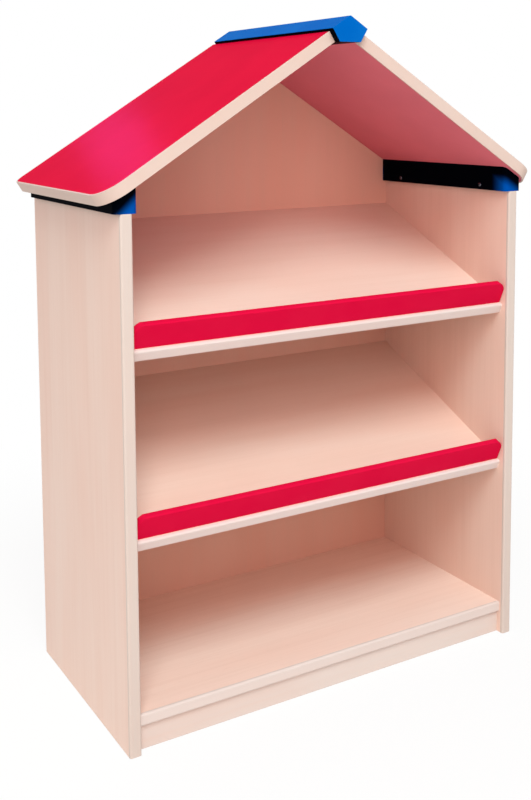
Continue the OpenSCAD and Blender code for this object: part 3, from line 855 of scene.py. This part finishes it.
def softened(node):
    """A board with its free arrises rounded. Gives the number of them."""
    shape = merged(node)
    bmesh.ops.dissolve_limit(shape, angle_limit=FLAT, verts=shape.verts, edges=shape.edges)
    weight = shape.edges.layers.float.new("bevel_weight_edge")
    for edge in shape.edges:
        sharp = edge.is_manifold and edge.calc_face_angle(0) > SHARP
        if sharp and edge.calc_length() > SHORTEST and is_free(edge, node):
            edge[weight] = 1.0
        edge.smooth = not sharp or edge[weight] == 1.0
    rounded = sum(1 for edge in shape.edges if edge[weight])
    mesh = bpy.data.meshes.new(f"{node}_board")
    shape.to_mesh(mesh)
    shape.free()
    shade_smooth(mesh)
    mesh.materials.append(finish_of[node])
    piece = adopted(f"{node}_board", mesh, node)
    bevel = piece.modifiers.new("sanded arrises", "BEVEL")
    bevel.width, bevel.segments = SANDED_WIDTH, 2
    bevel.limit_method = "WEIGHT"
    even = piece.modifiers.new("flat faces stay flat", "WEIGHTED_NORMAL")
    even.keep_sharp = True
    return rounded


for node in sorted(solids):
    if node.endswith(("dowels", "bolts")):
        solids[node].data.materials.clear()
        solids[node].data.materials.append(finish_of[node])
    elif node not in FITTINGS:
        print(f"{node}: {softened(node)} arrises sanded")

# %% [markdown]
# ## Floor and backdrop
# The bookcase stands on a plain white studio floor that runs into a white backdrop. The backdrop
# is the world: what the camera sees is pure white, while the light that it sheds is set apart and
# much weaker, so the white costs the boards nothing. The floor does the same, and close to the
# bookcase it keeps a share of its real shading for the contact shadow.

# %% Make the floor and the world
FLOOR_WIDTH, FLOOR_DROP = 24, 0.0005  # the floor lies a hair below the bookcase's feet
FLOOR_PAINT = (0.85, 0.83, 0.80, 1)
SHADE_NEAR, SHADE_FAR = 0.6, 1.6  # metres from the middle
GLOW = 0.88  # the share of plain white near the middle, which is 1 far out
AMBIENT, AMBIENT_TINT = 0.46, (1.0, 0.913, 0.940, 1)
WHITE = {"Color": (1, 1, 1, 1), "Strength": 1.0}

bpy.ops.mesh.primitive_plane_add(size=FLOOR_WIDTH, location=(0, 0, -FLOOR_DROP))
floor = bpy.context.object
floor.name = "floor"


def seen_directly(tree):
    """1 for a ray that comes from the camera, also through something clear."""
    outputs = ("Is Camera Ray", "Is Transmission Ray")
    camera_ray, clear_ray = (tree.node("ShaderNodeLightPath", out=name) for name in outputs)
    return tree.node("ShaderNodeMath", {"operation": "MAXIMUM"}, {0: camera_ray, 1: clear_ray})


floor_finish, tree = blank("studio floor")
matt = tree.node("ShaderNodeBsdfDiffuse", {}, {"Color": FLOOR_PAINT})
white = tree.node("ShaderNodeEmission", {}, WHITE)
place = tree.node("ShaderNodeTexCoord", out="Object")
away = tree.node("ShaderNodeVectorMath", {"operation": "LENGTH"}, {0: place}, "Value")
share = seen_directly(tree) * ramp(tree, away, SHADE_NEAR, SHADE_FAR, GLOW, 1.0)
shown = tree.node("ShaderNodeMixShader", {}, {0: share, 1: matt, 2: white})
tree.node("ShaderNodeOutputMaterial", {}, {"Surface": shown})
floor.data.materials.append(floor_finish)

world = bpy.data.worlds.new("studio")
bpy.context.scene.world = world
world.use_nodes = True
world.node_tree.nodes.clear()
tree = Tree(world.node_tree)
dim = tree.node("ShaderNodeBackground", {}, {"Color": AMBIENT_TINT, "Strength": AMBIENT})
white = tree.node("ShaderNodeBackground", {}, WHITE)
shown = tree.node("ShaderNodeMixShader", {}, {0: seen_directly(tree), 1: dim, 2: white})
tree.node("ShaderNodeOutputWorld", {}, {"Surface": shown})
print(f"floor {FLOOR_WIDTH} m wide, ambient light {AMBIENT}")

# %% [markdown]
# ## Lamps
# The light comes from high in front: one big soft lamp, which is why the shelves are bright at
# their fronts and fall into a soft shadow at the back. A warm lamp lower down reaches under the
# roof, and a weak one on the left lifts the side panel. A roof that is seen at a flat angle also
# mirrors what stands behind it, so a small violet card stands there. It makes the soft sheen on
# the red laminate. Only glossy rays see it, so it adds no light to the wood.

# %% Hang the lamps
COOL, WARM, VIOLET = (0.80, 0.99, 1.0), (1.0, 0.70, 0.64), (0.8, 0.12, 0.75)


def soft_lamp(name, place, aim, size, power, colour=(1, 1, 1)):
    """A round area lamp that looks at the aim. The size is in metres, the power in watts."""
    light = bpy.data.lights.new(name, "AREA")
    light.color = colour
    light.shape = "DISK"
    light.size, light.energy = size, power
    lamp = bpy.data.objects.new(name, light)
    lamp.location = place
    lamp.rotation_euler = (Vector(aim) - Vector(place)).to_track_quat("-Z", "Y").to_euler()
    bpy.context.collection.objects.link(lamp)
    return lamp


soft_lamp("key lamp", (-2.0, -4.7, 7.1), (0, 0, 0.6), size=4.0, power=512, colour=COOL)
soft_lamp("warm front lamp", (-1.9, -4.4, 3.1), (0, 0, 0.6), size=3.0, power=100, colour=WARM)
soft_lamp("left lamp", (-4.6, 0.3, 3.2), (0, 0, 0.8), size=2.5, power=30)
behind, left_slope = (-0.05, 2.26, 1.99), (-0.35, -0.1, 1.03)
card = soft_lamp("sheen card", behind, left_slope, size=0.3, power=3.2, colour=VIOLET)
card.visible_diffuse = card.visible_camera = False
print(f"{len(bpy.data.lights)} lamps")

# %% [markdown]
# ## Look
# The Standard view transform shows a colour as it is written.

# %% Finish
bpy.context.scene.view_settings.view_transform = "Standard"
